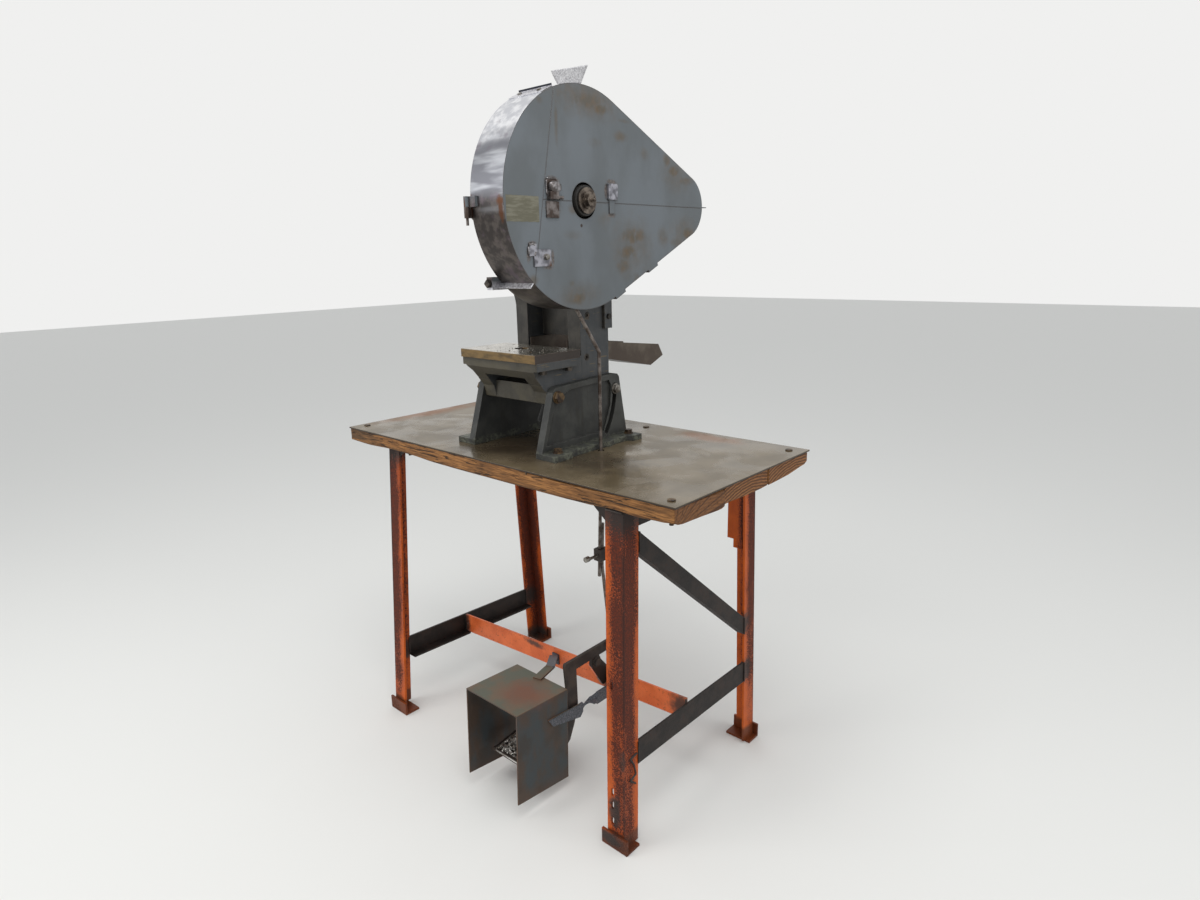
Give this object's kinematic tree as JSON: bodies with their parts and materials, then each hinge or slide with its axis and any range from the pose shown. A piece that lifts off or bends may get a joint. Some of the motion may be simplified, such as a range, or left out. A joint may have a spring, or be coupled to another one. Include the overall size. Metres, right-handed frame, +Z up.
{
  "type": "bench punch press",
  "caption": "Inclinable crank press on cast legs, bolted to a timber-topped welded table, with foot treadle, guarded belt drive and rear scrap chute.",
  "frame": {"origin": "on the floor, below the middle of the table top", "axes": "+X to the right of an operator who faces the press, +Y to the back of the table, +Z up"},
  "size_m": [1.219, 0.777, 1.7863],
  "materials": {
    "table_sheet": "oily, rust-stained sheet",
    "timber": "weathered planks",
    "orange_paint": "worn paint over rust",
    "dark_steel": "burnt and oily",
    "rusty_steel": "rusty, handled",
    "mill_scale": "mill scale and rust",
    "casting_paint": "oily charcoal paint on cast iron",
    "stand_paint": "charcoal paint on cast iron",
    "guard_paint": "thin paint with rust",
    "bright_steel": "machined and oiled",
    "bronze": "turned",
    "rubber": "dull",
    "motor_paint": "dull grey",
    "zinc": "dull galvanised"
  },
  "bodies": {
    "table": {"table_plate": "table_sheet", "plank_front": "timber", "plank_middle": "timber", "plank_rear": "timber", "table_bolts": "rusty_steel", "leg_front_left": "orange_paint", "leg_rear_left": "orange_paint", "leg_front_right": "orange_paint", "leg_rear_right": "orange_paint", "rail_left": "dark_steel", "rail_right": "dark_steel", "brace_left": "dark_steel", "brace_right": "dark_steel", "brace_diagonal": "dark_steel", "tie_bar": "orange_paint", "treadle_bolts": "rusty_steel", "pedal_guard": "mill_scale", "press_leg_left": "stand_paint", "press_leg_right": "stand_paint", "pivot_bolts": "rusty_steel"},
    "press": {"press_frame": "casting_paint", "tilt_bolts": "bright_steel", "bolster_plate": "bright_steel", "gib_strips": "casting_paint", "frame_screws": "bright_steel", "crank_bushes": "bronze", "guard_bracket": "casting_paint", "motor_mount": "casting_paint", "motor_body": "motor_paint", "guard_back": "guard_paint", "guard_upper": "guard_paint", "guard_lower": "guard_paint", "hasp": "bright_steel", "door_hinge": "rusty_steel", "chute": "rusty_steel", "v_belt": "rubber", "top_flap": "zinc", "trip_guide": "casting_paint", "latch_spring": "bright_steel"},
    "flywheel": {"flywheel": "casting_paint", "flywheel_bush": "bronze"},
    "rotor": {"motor_shaft": "bright_steel", "motor_pulley": "casting_paint"},
    "crank": {"crankshaft": "bright_steel", "shaft_collars": "bright_steel", "shaft_nut": "bright_steel"},
    "pitman": {"pitman": "casting_paint", "pitman_cap": "casting_paint", "pitman_bolts": "bright_steel", "adjusting_screw": "bright_steel"},
    "ram": {"ram": "bright_steel", "punch_screw": "bright_steel"},
    "treadle": {"treadle_lever": "rusty_steel"},
    "rod": {"upper_rod": "rusty_steel", "lower_rod": "rusty_steel", "rod_clamp": "rusty_steel", "clamp_screw": "bright_steel"},
    "latch": {"trip_latch": "rusty_steel"},
    "door": {"guard_door": "guard_paint", "door_screws": "bright_steel"}
  },
  "joints": [
    {"name": "frame_tilt", "type": "hinge", "parent": "table", "child": "press", "pos_m": [0, -0.139, 1.049], "axis": [-1, 0, 0], "range_deg": [0, 20]},
    {"name": "flywheel_spin", "type": "hinge", "parent": "press", "child": "flywheel", "pos_m": [0, -0.122, 1.507], "axis": [1, 0, 0], "continuous": true},
    {"name": "motor_spin", "type": "hinge", "parent": "press", "child": "rotor", "pos_m": [0, 0.2695, 1.507], "axis": [1, 0, 0], "continuous": true},
    {"name": "crank_spin", "type": "hinge", "parent": "press", "child": "crank", "pos_m": [0, -0.122, 1.507], "axis": [1, 0, 0], "continuous": true},
    {"name": "pitman_turn", "type": "hinge", "parent": "crank", "child": "pitman", "pos_m": [0, -0.122, 1.526], "axis": [1, 0, 0], "continuous": true},
    {"name": "ram_slide", "type": "slide", "parent": "press", "child": "ram", "axis": [0, 0, -1], "range_m": [0, 0.038]},
    {"name": "treadle_swing", "type": "hinge", "parent": "table", "child": "treadle", "pos_m": [0.1905, -0.081, 0.313], "axis": [1, 0, 0], "range_deg": [0, 8], "stiffness_Nm_per_rad": 30, "springref_deg": -14.32},
    {"name": "rod_slide", "type": "slide", "parent": "table", "child": "rod", "axis": [0, 0, 1], "range_m": [0, 0.0082]},
    {"name": "latch_slide", "type": "slide", "parent": "press", "child": "latch", "axis": [0, 0, 1], "range_m": [0, 0.0082], "deforming": ["latch_spring"]},
    {"name": "door_swing", "type": "hinge", "parent": "press", "child": "door", "pos_m": [0.1255, -0.373, 1.491], "axis": [0, 0, -1], "range_deg": [0, 110]}
  ],
  "couplings": [
    {"joint": "motor_spin", "follows": "flywheel_spin", "ratio": 5.9555},
    {"joint": "pitman_turn", "follows": "crank_spin", "ratio": -1},
    {"joint": "rod_slide", "follows": "treadle_swing", "m_per_rad": 0.058},
    {"joint": "latch_slide", "follows": "treadle_swing", "m_per_rad": 0.058}
  ]
}
